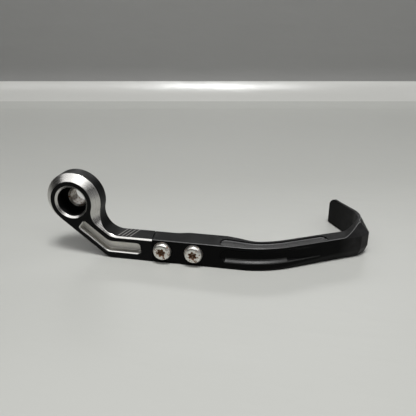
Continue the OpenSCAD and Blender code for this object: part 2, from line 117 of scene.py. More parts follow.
def buildPiece(name, sheets, materials, fills=(), sharp=32):
    # joins the sheets into one closed mesh; fills are (test on a corner, material) for flat openings
    offsets = np.cumsum([0] + [len(s["points"]) for s in sheets[:-1]])
    mesh = bpy.data.meshes.new(name)
    points = np.concatenate([s["points"] for s in sheets])
    faces = np.concatenate([s["faces"] + o for s, o in zip(sheets, offsets)])
    mesh.from_pydata(points.tolist(), [], faces.tolist())
    slots = np.concatenate([s["slots"] for s in sheets]).astype(np.int32)
    mesh.polygons.foreach_set("material_index", slots)
    corner = np.zeros(len(mesh.loops), np.int32)
    mesh.loops.foreach_get("vertex_index", corner)
    uv = np.concatenate([s["uv"] for s in sheets])[corner]
    mesh.uv_layers.new(name="path").data.foreach_set("uv", uv.ravel())
    work = bmesh.new()
    work.from_mesh(mesh)
    bmesh.ops.remove_doubles(work, verts=work.verts, dist=2e-6)
    bmesh.ops.dissolve_degenerate(work, edges=work.edges, dist=1e-6)
    for test, material in fills:
        rim = [e for e in work.edges if e.is_boundary and all(test(v.co / mm) for v in e.verts)]
        made = bmesh.ops.triangle_fill(work, edges=rim, use_beauty=True)
        for part in made["geom"]:
            if isinstance(part, bmesh.types.BMFace):
                part.material_index = material
    bmesh.ops.recalc_face_normals(work, faces=work.faces)
    openEdges = sum(1 for e in work.edges if not e.is_manifold)
    work.to_mesh(mesh)
    work.free()
    mesh.polygons.foreach_set("use_smooth", np.ones(len(mesh.polygons), bool))
    mesh.set_sharp_from_angle(angle=np.radians(sharp))
    piece = bpy.data.objects.new(name, mesh)
    bpy.context.scene.collection.objects.link(piece)
    for material in materials:
        mesh.materials.append(material)
    weighted = piece.modifiers.new("flats", "WEIGHTED_NORMAL")
    weighted.keep_sharp = True
    weighted.weight = 80
    print(f"{name}: {len(mesh.polygons)} faces, {openEdges} open edges")
    return piece


def turned(profile, centre=(0, 0), count=96, wrap=False, slots=0, radii=0.12):
    # profile of (radius, y) carried round an axis along Y at centre (x, z)
    rows = roundCorners(np.array([profile], float), radii, 4, wrap)[0]
    angle = np.linspace(0, 2 * np.pi, count, endpoint=False)[:, None]
    x = centre[0] + rows[None, :, 0] * np.cos(angle)
    z = centre[1] + rows[None, :, 0] * np.sin(angle)
    y = np.broadcast_to(rows[None, :, 1], x.shape)
    return sheet(np.stack((x, y, z), -1), slots, True, wrap)


def newMaterial(name, base, roughness, metallic=0.0, specular=0.5):
    material = bpy.data.materials.new(name)
    material.use_nodes = True
    shader = material.node_tree.nodes["Principled BSDF"]
    shader.inputs["Base Color"].default_value = (*base, 1)
    shader.inputs["Roughness"].default_value = roughness
    shader.inputs["Metallic"].default_value = metallic
    shader.inputs["Specular IOR Level"].default_value = specular
    return material, material.node_tree, shader


def addNode(tree, kind, links=(), **values):
    # links are (input name or index, output socket); values set the node's own fields
    node = tree.nodes.new(kind)
    for field, value in values.items():
        setattr(node, field, value)
    for socket, source in links:
        if hasattr(source, "is_output"):
            tree.links.new(source, node.inputs[socket])
        else:
            node.inputs[socket].default_value = source
    return node


def coordinates(tree, kind="Object", scale=(1, 1, 1), turn=(0, 0, 0)):
    source = addNode(tree, "ShaderNodeTexCoord").outputs[kind]
    return addNode(
        tree, "ShaderNodeMapping", [("Vector", source), ("Scale", scale), ("Rotation", turn)]
    ).outputs["Vector"]


def noise(tree, place, scale, detail=3.0, distortion=0.0):
    return addNode(
        tree, "ShaderNodeTexNoise",
        [("Vector", place), ("Scale", scale), ("Detail", detail), ("Distortion", distortion)],
    ).outputs["Fac"]


def remap(tree, value, low, high, toLow, toHigh):
    return addNode(
        tree, "ShaderNodeMapRange",
        [("Value", value), ("From Min", low), ("From Max", high), ("To Min", toLow), ("To Max", toHigh)],
    ).outputs["Result"]


def mixColours(tree, share, first, second):
    # indices 6 and 7 are the colour inputs of the Mix node
    return addNode(
        tree, "ShaderNodeMix", [(0, share), (6, first), (7, second)], data_type="RGBA"
    ).outputs[2]


def calculate(tree, operation, first, second):
    return addNode(tree, "ShaderNodeMath", [(0, first), (1, second)], operation=operation).outputs[0]


def bump(tree, shader, height, strength, distance):
    node = addNode(
        tree, "ShaderNodeBump", [("Height", height), ("Strength", strength), ("Distance", distance)]
    )
    tree.links.new(node.outputs["Normal"], shader.inputs["Normal"])


def blackAnodised():
    look = {
        "base": (0.006, 0.006, 0.0068), "grain": 9000, "cloud": 160, "lean": 0.27, "first": 0.02728,
        "pitch": 0.0021, "lines": 4, "across": (-0.0145, -0.0056), "line": 0.00026,
        "above": 11.9, "scribed": (0.22, 0.213, 0.205, 1),
    }
    material, tree, shader = newMaterial("blackAnodised", look["base"], 0.4, 0.0, 0.09)
    place = coordinates(tree)
    grain = noise(tree, place, look["grain"], 2)
    cloud = noise(tree, place, look["cloud"], 4, 0.6)
    tree.links.new(remap(tree, cloud, 0.3, 0.7, 0.32, 0.46), shader.inputs["Roughness"])
    # a few scribed lines lean across the level top: distance to the nearest line along X, kept to
    # the top by windows on X, Y and Z
    split = addNode(tree, "ShaderNodeSeparateXYZ", [(0, place)]).outputs
    leaning = calculate(tree, "MULTIPLY", split["Y"], look["lean"])
    shifted = calculate(tree, "SUBTRACT", split["X"], leaning)
    shifted = calculate(tree, "SUBTRACT", shifted, look["first"])
    away = calculate(tree, "PINGPONG", shifted, look["pitch"] / 2)
    scribed = remap(tree, away, look["line"], 1.3 * look["line"], 1.0, 0.0)
    room = look["pitch"] / 2
    for value, low, high in (
        (shifted, -room, look["pitch"] * (look["lines"] - 0.5)), (split["Y"], *look["across"]),
        (split["Z"], (lowZ + look["above"]) / 1000, 0.0),
    ):
        scribed = calculate(tree, "MULTIPLY", scribed, calculate(tree, "GREATER_THAN", value, low))
        scribed = calculate(tree, "MULTIPLY", scribed, calculate(tree, "LESS_THAN", value, high))
    plain = mixColours(tree, cloud, (0.0015, 0.0015, 0.0016, 1), (0.003, 0.003, 0.0032, 1))
    tree.links.new(mixColours(tree, scribed, plain, look["scribed"]), shader.inputs["Base Color"])
    bump(tree, shader, grain, 0.25, 0.00002)
    return material


def cutAluminium():
    # bright turned and milled edges; the lines run along the cut
    look = {"tint": (0.62, 0.61, 0.59), "low": (0.50, 0.49, 0.47), "rough": (0.2, 0.34)}
    material, tree, shader = newMaterial("cutAluminium", look["tint"], 0.2, 1.0)
    path = coordinates(tree, "UV", (60, 9000, 1))
    lines = noise(tree, path, 1.0, 3)
    cloud = noise(tree, coordinates(tree), 400, 3)
    tree.links.new(remap(tree, lines, 0.3, 0.7, *look["rough"]), shader.inputs["Roughness"])
    tree.links.new(
        mixColours(tree, cloud, (*look["low"], 1), (*look["tint"], 1)), shader.inputs["Base Color"]
    )
    bump(tree, shader, lines, 0.3, 0.00002)
    return material


def milledFloor():
    # floor of the slot: slanted cutter marks of a fine pitch, a little uneven
    look = {"pitch": 0.00042, "turn": 52, "tint": (0.62, 0.60, 0.56)}
    material, tree, shader = newMaterial("milledFloor", look["tint"], 0.35, 0.6)
    place = coordinates(tree, "Object", (1, 1, 1), (0, np.radians(look["turn"]), 0))
    bands = addNode(
        tree, "ShaderNodeTexWave",
        [("Vector", place), ("Scale", 1 / look["pitch"] / 6.3), ("Distortion", 1.6), ("Detail", 2.0),
         ("Detail Scale", 1.4)],
        bands_direction="X",
    ).outputs["Fac"]
    cloud = noise(tree, coordinates(tree), 500, 4)
    tree.links.new(
        mixColours(tree, cloud, (0.74, 0.72, 0.68, 1), (0.92, 0.90, 0.86, 1)), shader.inputs["Base Color"]
    )
    tree.links.new(remap(tree, bands, 0.0, 1.0, 0.42, 0.6), shader.inputs["Roughness"])
    bump(tree, shader, bands, 0.5, 0.00003)
    return material


def mouldedPlastic():
    look = {
        "grain": 3600, "cloud": 90, "cornerHighlightFrom": 0.134, "cornerHighlightTo": 0.142,
        "cornerHighlight": (0.02, 0.0197, 0.02, 1),
    }
    material, tree, shader = newMaterial("mouldedPlastic", (0.008, 0.008, 0.0085), 0.35, 0.0, 0.055)
    place = coordinates(tree)
    grain = noise(tree, place, look["grain"], 3)
    cloud = noise(tree, place, look["cloud"], 4, 0.4)
    tree.links.new(remap(tree, cloud, 0.3, 0.7, 0.3, 0.4), shader.inputs["Roughness"])
    # painted highlight: the end corner is painted lighter in blotches, standing for the light on its
    # facets
    split = addNode(tree, "ShaderNodeSeparateXYZ", [(0, place)]).outputs["X"]
    cornerHighlight = calculate(
        tree, "MULTIPLY", remap(tree, split, look["cornerHighlightFrom"], look["cornerHighlightTo"], 0.0, 1.0),
        remap(tree, noise(tree, place, 260, 4), 0.3, 0.6, 0.5, 1.0),
    )
    plain = mixColours(tree, cloud, (0.0015, 0.0015, 0.0016, 1), (0.003, 0.003, 0.0031, 1))
    tree.links.new(mixColours(tree, cornerHighlight, plain, look["cornerHighlight"]), shader.inputs["Base Color"])
    bump(tree, shader, grain, 0.3, 0.00004)
    return material


def rustySteel(name, steel, share, rough):
    # bright steel with brown rust in patches; share is how much of it has rusted
    material, tree, shader = newMaterial(name, steel, rough, 1.0)
    place = coordinates(tree)
    patches = noise(tree, place, 900, 5, 0.8)
    fine = noise(tree, place, 5000, 3)
    mask = remap(tree, patches, 0.62 - share * 0.4, 0.7 - share * 0.4, 0.0, 1.0)
    rust = mixColours(tree, fine, (0.10, 0.045, 0.02, 1), (0.30, 0.15, 0.07, 1))
    tree.links.new(mixColours(tree, mask, (*steel, 1), rust), shader.inputs["Base Color"])
    tree.links.new(remap(tree, mask, 0, 1, 1.0, 0.15), shader.inputs["Metallic"])
    tree.links.new(remap(tree, mask, 0, 1, rough, 0.75), shader.inputs["Roughness"])
    bump(tree, shader, calculate(tree, "MULTIPLY", mask, fine), 0.5, 0.00006)
    return material


def paintedSheenPlastic(name, low, high, fade=None):
    # painted highlights and sheen: a greyer, mottled colour on the moulding's edges, ledge and channel
    # floor; the painted highlight fades along X between the two places of fade, in metres
    material, tree, shader = newMaterial(name, (0.03, 0.03, 0.03), 0.34, 0.0, 0.5)
    place = coordinates(tree)
    mottle = noise(tree, place, 700, 4)
    tree.links.new(remap(tree, mottle, 0.3, 0.7, 0.26, 0.42), shader.inputs["Roughness"])
    grey = mixColours(tree, mottle, (low, low, low, 1), (high, high, high, 1))
    if fade:
        split = addNode(tree, "ShaderNodeSeparateXYZ", [(0, place)]).outputs["X"]
        grey = mixColours(tree, remap(tree, split, *fade, 1.0, 0.0), (0.003, 0.003, 0.003, 1), grey)
        tree.links.new(remap(tree, split, *fade, 0.36, 0.06), shader.inputs["Specular IOR Level"])
    tree.links.new(grey, shader.inputs["Base Color"])
    return material


anodised = blackAnodised()
bright = cutAluminium()
milled = milledFloor()
plastic = mouldedPlastic()
# painted sheen on the channel floor, painted highlight on the ledge and painted highlight on the edges
paintedSheen = paintedSheenPlastic("paintedSheenPlastic", 0.012, 0.038)
paintedLedgeHighlight = paintedSheenPlastic("paintedLedgeHighlight", 0.012, 0.034, (0.112, 0.13))
paintedEdgeHighlight = paintedSheenPlastic("paintedEdgeHighlight", 0.06, 0.17)
screwSteel = rustySteel("screwSteel", (0.78, 0.77, 0.73), 0.16, 0.34)
recessRust = rustySteel("recessRust", (0.42, 0.36, 0.29), 0.6, 0.45)
bushSteel = rustySteel("bushSteel", (0.43, 0.41, 0.38), 0.2, 0.4)
print("materials made")

arm = {
    "eyeR": armHigh[2], "bevelW": 3.5, "neckR": 10.5, "neckBevelR": 8, "slant": 39, "heelR": 6,
    "legW": 10.6, "blendR": 7, "lowChamfer": 0.6, "topChamfer": 0.8, "height": 12.4, "seamX": 41.7,
    "lean": 1.3, "counterR": 7.7, "counterDepth": 8.2, "mouth": 1.0, "webR": 5.32, "edgeR": 0.12,
    "backR": 0.4,
}
slotShape = {
    "depth": 3.4, "slantW": 4.6, "levelH": 5.3, "slantRim": 3.1, "lowRim": 3.9, "start": 11,
    "endGap": 6.6, "cornerR": 0.9, "endR": 1.5, "chamfer": 0.5, "floorR": 0.5,
}
tongue = {"length": 31, "thick": 5.2, "height": 8, "wall": 3}

topZ = lowZ + arm["height"]
innerTopZ = topZ - arm["topChamfer"]
innerR = arm["eyeR"] - arm["bevelW"]
slantN = 270 - arm["slant"]
slantOff = innerR + arm["lowChamfer"]
slantDir, slantOut = polar(1, -arm["slant"]), polar(1, slantN)


def neckCentre(r, c, z):
    # centre of an arc of radius r that touches the circle c round the bore and the level line z
    return np.array([np.sqrt((c + r) ** 2 - (z + r) ** 2), z + r])


def slantX(off, z):
    return (off - z * slantOut[1]) / slantOut[0]


neck = neckCentre(arm["neckR"], arm["eyeR"], topZ)
neckA = np.degrees(np.arctan2(neck[1], neck[0]))
bendOff = slantOff - arm["legW"] - arm["neckBevelR"]
upperNeck = (
    np.sqrt((innerR + arm["neckBevelR"]) ** 2 - bendOff ** 2) * slantDir + bendOff * slantOut
)
upperNeckA = np.degrees(np.arctan2(upperNeck[1], upperNeck[0]))
lowerNeck = np.array([slantX(bendOff, innerTopZ + arm["neckBevelR"]), innerTopZ + arm["neckBevelR"]])
heelZ = lowZ + arm["heelR"]
heel = np.array([slantX(slantOff - arm["heelR"], heelZ), heelZ])
blendA = slantN - np.degrees(np.arccos((slantOff - arm["blendR"]) / (arm["eyeR"] - arm["blendR"])))
blend = polar(arm["eyeR"] - arm["blendR"], blendA)


def innerEdge():
    # inner edge of the bevel as points, the outward direction at each, and whether the bevel is bright
    def line(a, b, n, out, shiny):
        t = np.linspace(0, 1, n)[:, None]
        return np.array(a) * (1 - t) + np.array(b) * t, np.tile(out, (n, 1)), np.full(n, shiny)

    def arc(c, r, a1, a2, n, side, shiny):
        out = polar(1.0, np.linspace(a1, a2, n))
        return np.array(c) + r * out, out * side, np.full(n, shiny)

    foot, bend = polar(innerR, slantN), polar(arm["neckBevelR"], slantN)
    heelIn = arm["heelR"] - arm["lowChamfer"]
    seam, lowIn = arm["seamX"], lowZ + arm["lowChamfer"]
    parts = [
        line((seam, innerTopZ), (lowerNeck[0], innerTopZ), 24, (0, 1), True),
        arc(lowerNeck, arm["neckBevelR"], 270, slantN, 20, -1, True),
        line(lowerNeck + bend, upperNeck + bend, 16, -slantOut, True),
        arc(upperNeck, arm["neckBevelR"], slantN, 180 + upperNeckA, 30, -1, True),
        arc((0, 0), innerR, upperNeckA, slantN, 150, 1, True),
        line(foot, heel + polar(heelIn, slantN), 30, slantOut, False),
        arc(heel, heelIn, slantN, 270, 14, 1, False),
        line((heel[0], lowIn), (seam, lowIn), 24, (0, -1), False),
    ]
    return [np.concatenate([p[k] for p in parts]) for k in range(3)]


def reachOutline(start, out):
    # distance t from each point along its outward direction to the arm's outline: the nearest hit on
    # a line (n.p = k) is t = (k - n.s) / n.o; on a circle (c, r) it solves |s + t o - c| = r
    slack = 1e-6
    best = np.full(len(start), np.inf)

    def keep(t, valid):
        np.minimum(best, np.where(valid & (t > -slack), t, np.inf), out=best)

    def lineHit(normal, k, low, high, along):
        t = (k - start @ normal) / np.where(abs(out @ normal) < slack, np.nan, out @ normal)
        s = (start + t[:, None] * out) @ along
        keep(np.nan_to_num(t, nan=np.inf), (s >= low - 1e-3) & (s <= high + 1e-3))

    def circleHit(c, r, a1, a2):
        away = start - c
        b = (away * out).sum(1)
        inside = np.maximum(b * b - (away * away).sum(1) + r * r, 0)
        real = b * b - (away * away).sum(1) + r * r >= 0
        for sign in (-1, 1):
            t = -b + sign * np.sqrt(inside)
            hit = start + t[:, None] * out - c
            angle = (np.degrees(np.arctan2(hit[:, 1], hit[:, 0])) - a1 + 0.1) % 360
            keep(t, real & (angle <= a2 - a1 + 0.2))

    level, rise = np.array([1.0, 0]), np.array([0, 1.0])
    lineHit(rise, topZ, neck[0], 99, level)
    lineHit(-rise, -lowZ, heel[0], 99, level)
    lineHit(slantOut, slantOff, blend @ slantDir, heel @ slantDir, slantDir)
    circleHit(neck, arm["neckR"], 180 + neckA, 270)
    circleHit(np.zeros(2), arm["eyeR"], neckA, blendA)
    circleHit(blend, arm["blendR"], blendA, slantN)
    circleHit(heel, arm["heelR"], slantN, 270)
    return best


def armShell():
    # rows from the front face over the bevel and the wall to the back face, one chain per edge point
    edge, out, shiny = innerEdge()
    t = reachOutline(edge, out)
    wall = edge + t[:, None] * out
    fillet = 2 * arm["edgeR"]
    rows = [
        (edge - fillet * out, 0 * t), (edge, 0 * t), (wall, t), (wall, 0 * t + armT),
        (wall - 3 * arm["backR"] * out, 0 * t + armT),
    ]
    chains = np.stack([np.column_stack((p[:, 0], frontY + d, p[:, 1])) for p, d in rows], 1)
    # two chains down the joint close the shell: bevel and wall fall together there
    ends = np.array([[arm["seamX"], lowZ + arm["lowChamfer"]], [arm["seamX"], innerTopZ]])
    depths = np.array([0, 0, 0, armT, armT])
    close = np.stack([np.column_stack((ends[:, 0], [frontY + d] * 2, ends[:, 1])) for d in depths], 1)
    close[:, 0, 0] -= fillet
    close[:, 4, 0] -= 3 * arm["backR"]
    close[:, 0, 2] += np.array([1, -1]) * fillet
    close[:, 4, 2] += np.array([1, -1]) * (3 * arm["backR"] - arm["lowChamfer"])
    chains = np.concatenate((chains, close))
    seamAt = arm["seamX"] - arm["lean"] * (chains[:, :, 1] - frontY) / armT
    chains[:, :, 0] = np.minimum(chains[:, :, 0], seamAt)
    chains[:, 0, 0] = np.minimum(chains[:, 0, 0], arm["seamX"] - fillet)
    chains[:, 4, 0] = np.minimum(chains[:, 4, 0], seamAt[:, 4] - 3 * arm["backR"])
    rounded = roundCorners(chains, [0, arm["edgeR"], arm["edgeR"], arm["backR"], 0], 4)
    isBevel = np.zeros(rounded.shape[1] - 1, bool)
    isBevel[2:7] = True
    shinyChain = np.concatenate((shiny, [False, False]))
    return sheet(rounded, (shinyChain[:, None] & isBevel[None, :]).astype(int), True)


def slotOutline(grow):
    # corners of the slot grown on every side, each rounded to its own radius
    s = slotShape
    lowOff, highOff = slantOff - s["slantRim"] + grow, slantOff - s["slantRim"] - s["slantW"] - grow
    z1, z2 = lowZ + s["lowRim"] - grow, lowZ + s["lowRim"] + s["levelH"] + grow
    start, end = s["start"] - grow, arm["seamX"] - s["endGap"] + grow
    corners = np.array([
        start * slantDir + lowOff * slantOut, [slantX(lowOff, z1), z1], [end, z1], [end, z2],
        [slantX(highOff, z2), z2], start * slantDir + highOff * slantOut,
    ])
    radii = np.array([
        s["cornerR"] + grow, arm["heelR"] / 2, s["endR"] + grow, s["endR"] + grow, arm["heelR"],
        s["cornerR"] + grow,
    ])
    a, c = np.roll(corners, 1, 0) - corners, np.roll(corners, -1, 0) - corners
    a, c = a / np.linalg.norm(a, axis=1)[:, None], c / np.linalg.norm(c, axis=1)[:, None]
    half = np.arccos(np.clip((a * c).sum(1), -1, 1)) / 2
    middle = (a + c) / np.linalg.norm(a + c, axis=1)[:, None]
    centre = corners + middle * (radii / np.sin(half))[:, None]
    first = corners + a * (radii / np.tan(half))[:, None] - centre
    last = corners + c * (radii / np.tan(half))[:, None] - centre
    u = np.linspace(0, 1, 12)[None, :, None]
    blendDir = first[:, None] * (1 - u) + last[:, None] * u
    blendDir = blendDir / np.linalg.norm(blendDir, axis=2, keepdims=True)
    return (centre[:, None] + blendDir * radii[:, None, None]).reshape(-1, 2)


def slotSheet():
    s = slotShape
    rings = [
        (s["chamfer"] + 0.2, 0), (s["chamfer"], 0), (0, s["chamfer"]), (0, s["depth"]), (-1.2, s["depth"]),
    ]
    outlines = [(slotOutline(g), d) for g, d in rings]
    chains = np.stack(
        [np.column_stack((p[:, 0], 0 * p[:, 0] + frontY + d, p[:, 1])) for p, d in outlines], 1
    )
    rounded = roundCorners(chains, [0, 0.08, 0.08, s["floorR"], 0], 4)
    slots = np.zeros(rounded.shape[1] - 1, int)
    slots[2:] = 1
    slots[10:] = 2
    return sheet(rounded, slots, True)


def counterboreSheet():
    a = arm
    profile = [
        (a["counterR"] + a["mouth"] + 0.25, frontY), (a["counterR"] + a["mouth"], frontY),
        (a["counterR"], frontY + a["mouth"]), (a["counterR"], frontY + a["counterDepth"]),
        (a["webR"], frontY + a["counterDepth"]), (a["webR"], backY), (a["webR"] + 0.3, backY),
    ]
    made = turned(profile, count=128, radii=[0, 0.1, 0.1, 0.3, 0.05, 0.05, 0])
    strips = np.zeros(len(made["faces"]) // 128, int)
    strips[2:7] = 1
    made["slots"] = np.tile(strips, 128)
    return made


def tongueSheet():
    # rounded box from just inside the joint to the tongue's end, closed at both ends by short rings
    w = tongue
    y0, z0 = frontY + w["wall"], lowZ + (arm["height"] - w["height"]) / 2
    y1, z1 = y0 + w["thick"], z0 + w["height"]
    box = np.array([[y0, z0], [y1, z0], [y1, z1], [y0, z1]])
    ring = roundCorners(box[None], 0.5, 4, True)[0]
    middle = box.mean(0)
    start, end = arm["seamX"] - arm["lean"], arm["seamX"] + w["length"]
    shares = [(start, 0.02), (start, 1), (end - 0.4, 1), (end, 0.94), (end, 0.02)]
    rows = [np.column_stack((np.full(len(ring), x), middle + (ring - middle) * k)) for x, k in shares]
    return sheet(np.stack(rows, 1), 0, True)


def onPlane(y):
    return lambda p: abs(p.y - y) < 0.01


print("arm: shell, slot, counterbore and tongue")
armPiece = buildPiece(
    "arm_body",
    [armShell(), slotSheet(), counterboreSheet(), tongueSheet()],
    [anodised, bright, milled],
    [(onPlane(frontY), 0), (onPlane(frontY + slotShape["depth"]), 2), (onPlane(backY), 0),
     (lambda p: p.x < 45, 0), (lambda p: p.x > 45, 0)],
)
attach(armPiece, "root")
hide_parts("mount_arm")

bush = {"boreR": 4.5, "spigotR": 5.3, "collarR": 9, "chamfer": 0.7, "edge": 0.4}
spigotY = frontY + arm["counterDepth"]
bushPiece = buildPiece(
    "bush_ring",
    [turned(
        [(bush["boreR"], 0), (bush["collarR"] - bush["edge"], 0), (bush["collarR"], -bush["edge"]),
         (bush["collarR"], backY), (bush["spigotR"], backY), (bush["spigotR"], spigotY),
         (bush["boreR"] + bush["chamfer"], spigotY), (bush["boreR"], spigotY + bush["chamfer"])],
        wrap=True, radii=0.08,
    )],
    [bushSteel],
)
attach(bushPiece, "root")
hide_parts("bar_end_bush")

blade = {
    "bendX": 99.7, "bendA": 29.5, "bendR": 50, "midLen": 52.5, "nearTurn": 23.5, "nearFacet": 7.1,
    "midTurn": 44, "farFacet": 20.6, "farTurn": 23.5, "facetR": 2.5, "innerR": 14, "tipLen": 23.3,
    "thick": 8.3, "swellT": 12.4, "swellFrom": 9.5, "swellLen": 8, "thinFrom": 34.5, "thinLen": 21,
    "tipT": 5.8, "tipH": 16.3, "rampL": 8.4, "rampGap": 5, "tipFall": 0.8, "tipR": 4.5, "tipLowR": 1.2,
    "edge": 0.4, "facetSpread": 0.3, "strip": 1.6, "lowBevelW": 1.7, "lowBevelH": 4.6,
    "seamGap": 0.12, "endRound": 0.5,
}
panel = {"start": 34.5, "length": 55, "depth": 1.4, "low": 3.7, "lowEnd": 4.9, "high": 11, "slope": 1.3}
channel = {
    "start": 34, "length": 57.5, "depth": 1.0, "bend": 0.6, "shoal": 0.5, "width": 5.8, "rim": 0.6,
    "slope": 0.3, "widen": 0.5,
}

rootX = arm["seamX"] + blade["seamGap"]
legs = [
    (blade["bendX"] - rootX, blade["bendA"], blade["bendR"]),
    (blade["midLen"], blade["nearTurn"], blade["facetR"]),
    (blade["nearFacet"], blade["midTurn"], blade["facetR"]),
    (blade["farFacet"], blade["farTurn"], blade["facetR"]),
    (blade["tipLen"], 0, 0),
]


def legTable():
    # for each leg: distance where it starts, its straight run, and the pose (x, y, heading) there
    table, pose, begin, taken = [], np.array([rootX, frontY, 0.0]), 0.0, 0.0
    for length, turn, radius in legs:
        cut = radius * np.tan(np.radians(turn) / 2)
        run = length - taken - cut
        table.append((begin, run, pose.copy()))
        a, b = pose[2], pose[2] + np.radians(turn)
        pose[0] += run * np.cos(a) + radius * (np.sin(b) - np.sin(a))
        pose[1] += run * np.sin(a) - radius * (np.cos(b) - np.cos(a))
        pose[2] = b
        begin, taken = begin + run + radius * np.radians(turn), cut
    return table


table = legTable()
begins = np.array([row[0] for row in table])
bladeL = table[-1][0] + table[-1][1]


def face(d):
    # outer face in plan at the distance d: straight runs p + s(cos h, sin h), then arcs
    # p + r(sin h2 - sin h, cos h - cos h2)
    result = np.zeros((len(d), 3))
    for (begin, run, pose), (_, turn, radius) in zip(table, legs):
        on = d >= begin - 1e-9
        straight = np.minimum(d - begin, run) if turn else d - begin
        arcLen = max(radius * np.radians(turn), 1e-9)
        swept = np.clip((d - begin - run) / arcLen, 0, 1) * np.radians(turn)
        h = pose[2] + swept
        x = pose[0] + straight * np.cos(pose[2]) + radius * (np.sin(h) - np.sin(pose[2]))
        y = pose[1] + straight * np.sin(pose[2]) - radius * (np.cos(h) - np.cos(pose[2]))
        result[on] = np.column_stack((x, y, h))[on]
    return result


def behind(pose, t):
    return pose[:, :2] + np.column_stack((-t * np.sin(pose[:, 2]), t * np.cos(pose[:, 2])))


cornerA = np.radians(blade["nearTurn"] + blade["midTurn"] + blade["farTurn"])
farCorner = (
    np.array([blade["midLen"], 0]) + polar(blade["nearFacet"], blade["nearTurn"])
    + polar(blade["farFacet"], blade["nearTurn"] + blade["midTurn"])
)
innerBack = (blade["thick"] - farCorner[1] - blade["tipT"] * np.cos(cornerA)) / np.sin(cornerA)
innerVertex = farCorner[0] - blade["tipT"] * np.sin(cornerA) + innerBack * np.cos(cornerA)
innerCut = blade["innerR"] * np.tan(cornerA / 2)
firstCut = blade["bendR"] * np.tan(np.radians(blade["bendA"]) / 2)
lastCut = blade["facetR"] * np.tan(np.radians(blade["farTurn"]) / 2)
cornerFrom = begins[1] - firstCut + innerVertex - innerCut
cornerTo = begins[4] - lastCut + innerBack + innerCut
turnD = cornerFrom + (cornerTo - cornerFrom) * (90 - blade["bendA"]) / np.degrees(cornerA)
rampTo = face(np.array([begins[3]]))[0, 0] - blade["rampGap"]


def inner(d):
    # inner face in plan: the outer one moved in by the thickness, with a true arc inside the corner
    thick = (
        armT + (blade["swellT"] - armT) * ease((d - blade["swellFrom"]) / blade["swellLen"])
        - (blade["swellT"] - blade["thick"]) * ease((d - blade["thinFrom"]) / blade["thinLen"])
    )
    result = behind(face(d), np.where(d <= cornerFrom, thick, blade["tipT"]))
    result[:, 0] -= arm["lean"] * np.clip(1 - d / (blade["swellFrom"] / 2), 0, 1)
    on = (d > cornerFrom) & (d < cornerTo)
    foot = face(np.array([cornerFrom]))
    base = behind(foot, blade["thick"])[0]
    h = foot[0, 2] + cornerA * (d[on] - cornerFrom) / (cornerTo - cornerFrom)
    result[on, 0] = base[0] + blade["innerR"] * (np.sin(h) - np.sin(foot[0, 2]))
    result[on, 1] = base[1] - blade["innerR"] * (np.cos(h) - np.cos(foot[0, 2]))
    return result


def opening(d, start, length, radius):
    return np.minimum(quarter((d - start) / radius), quarter((start + length - d) / radius))


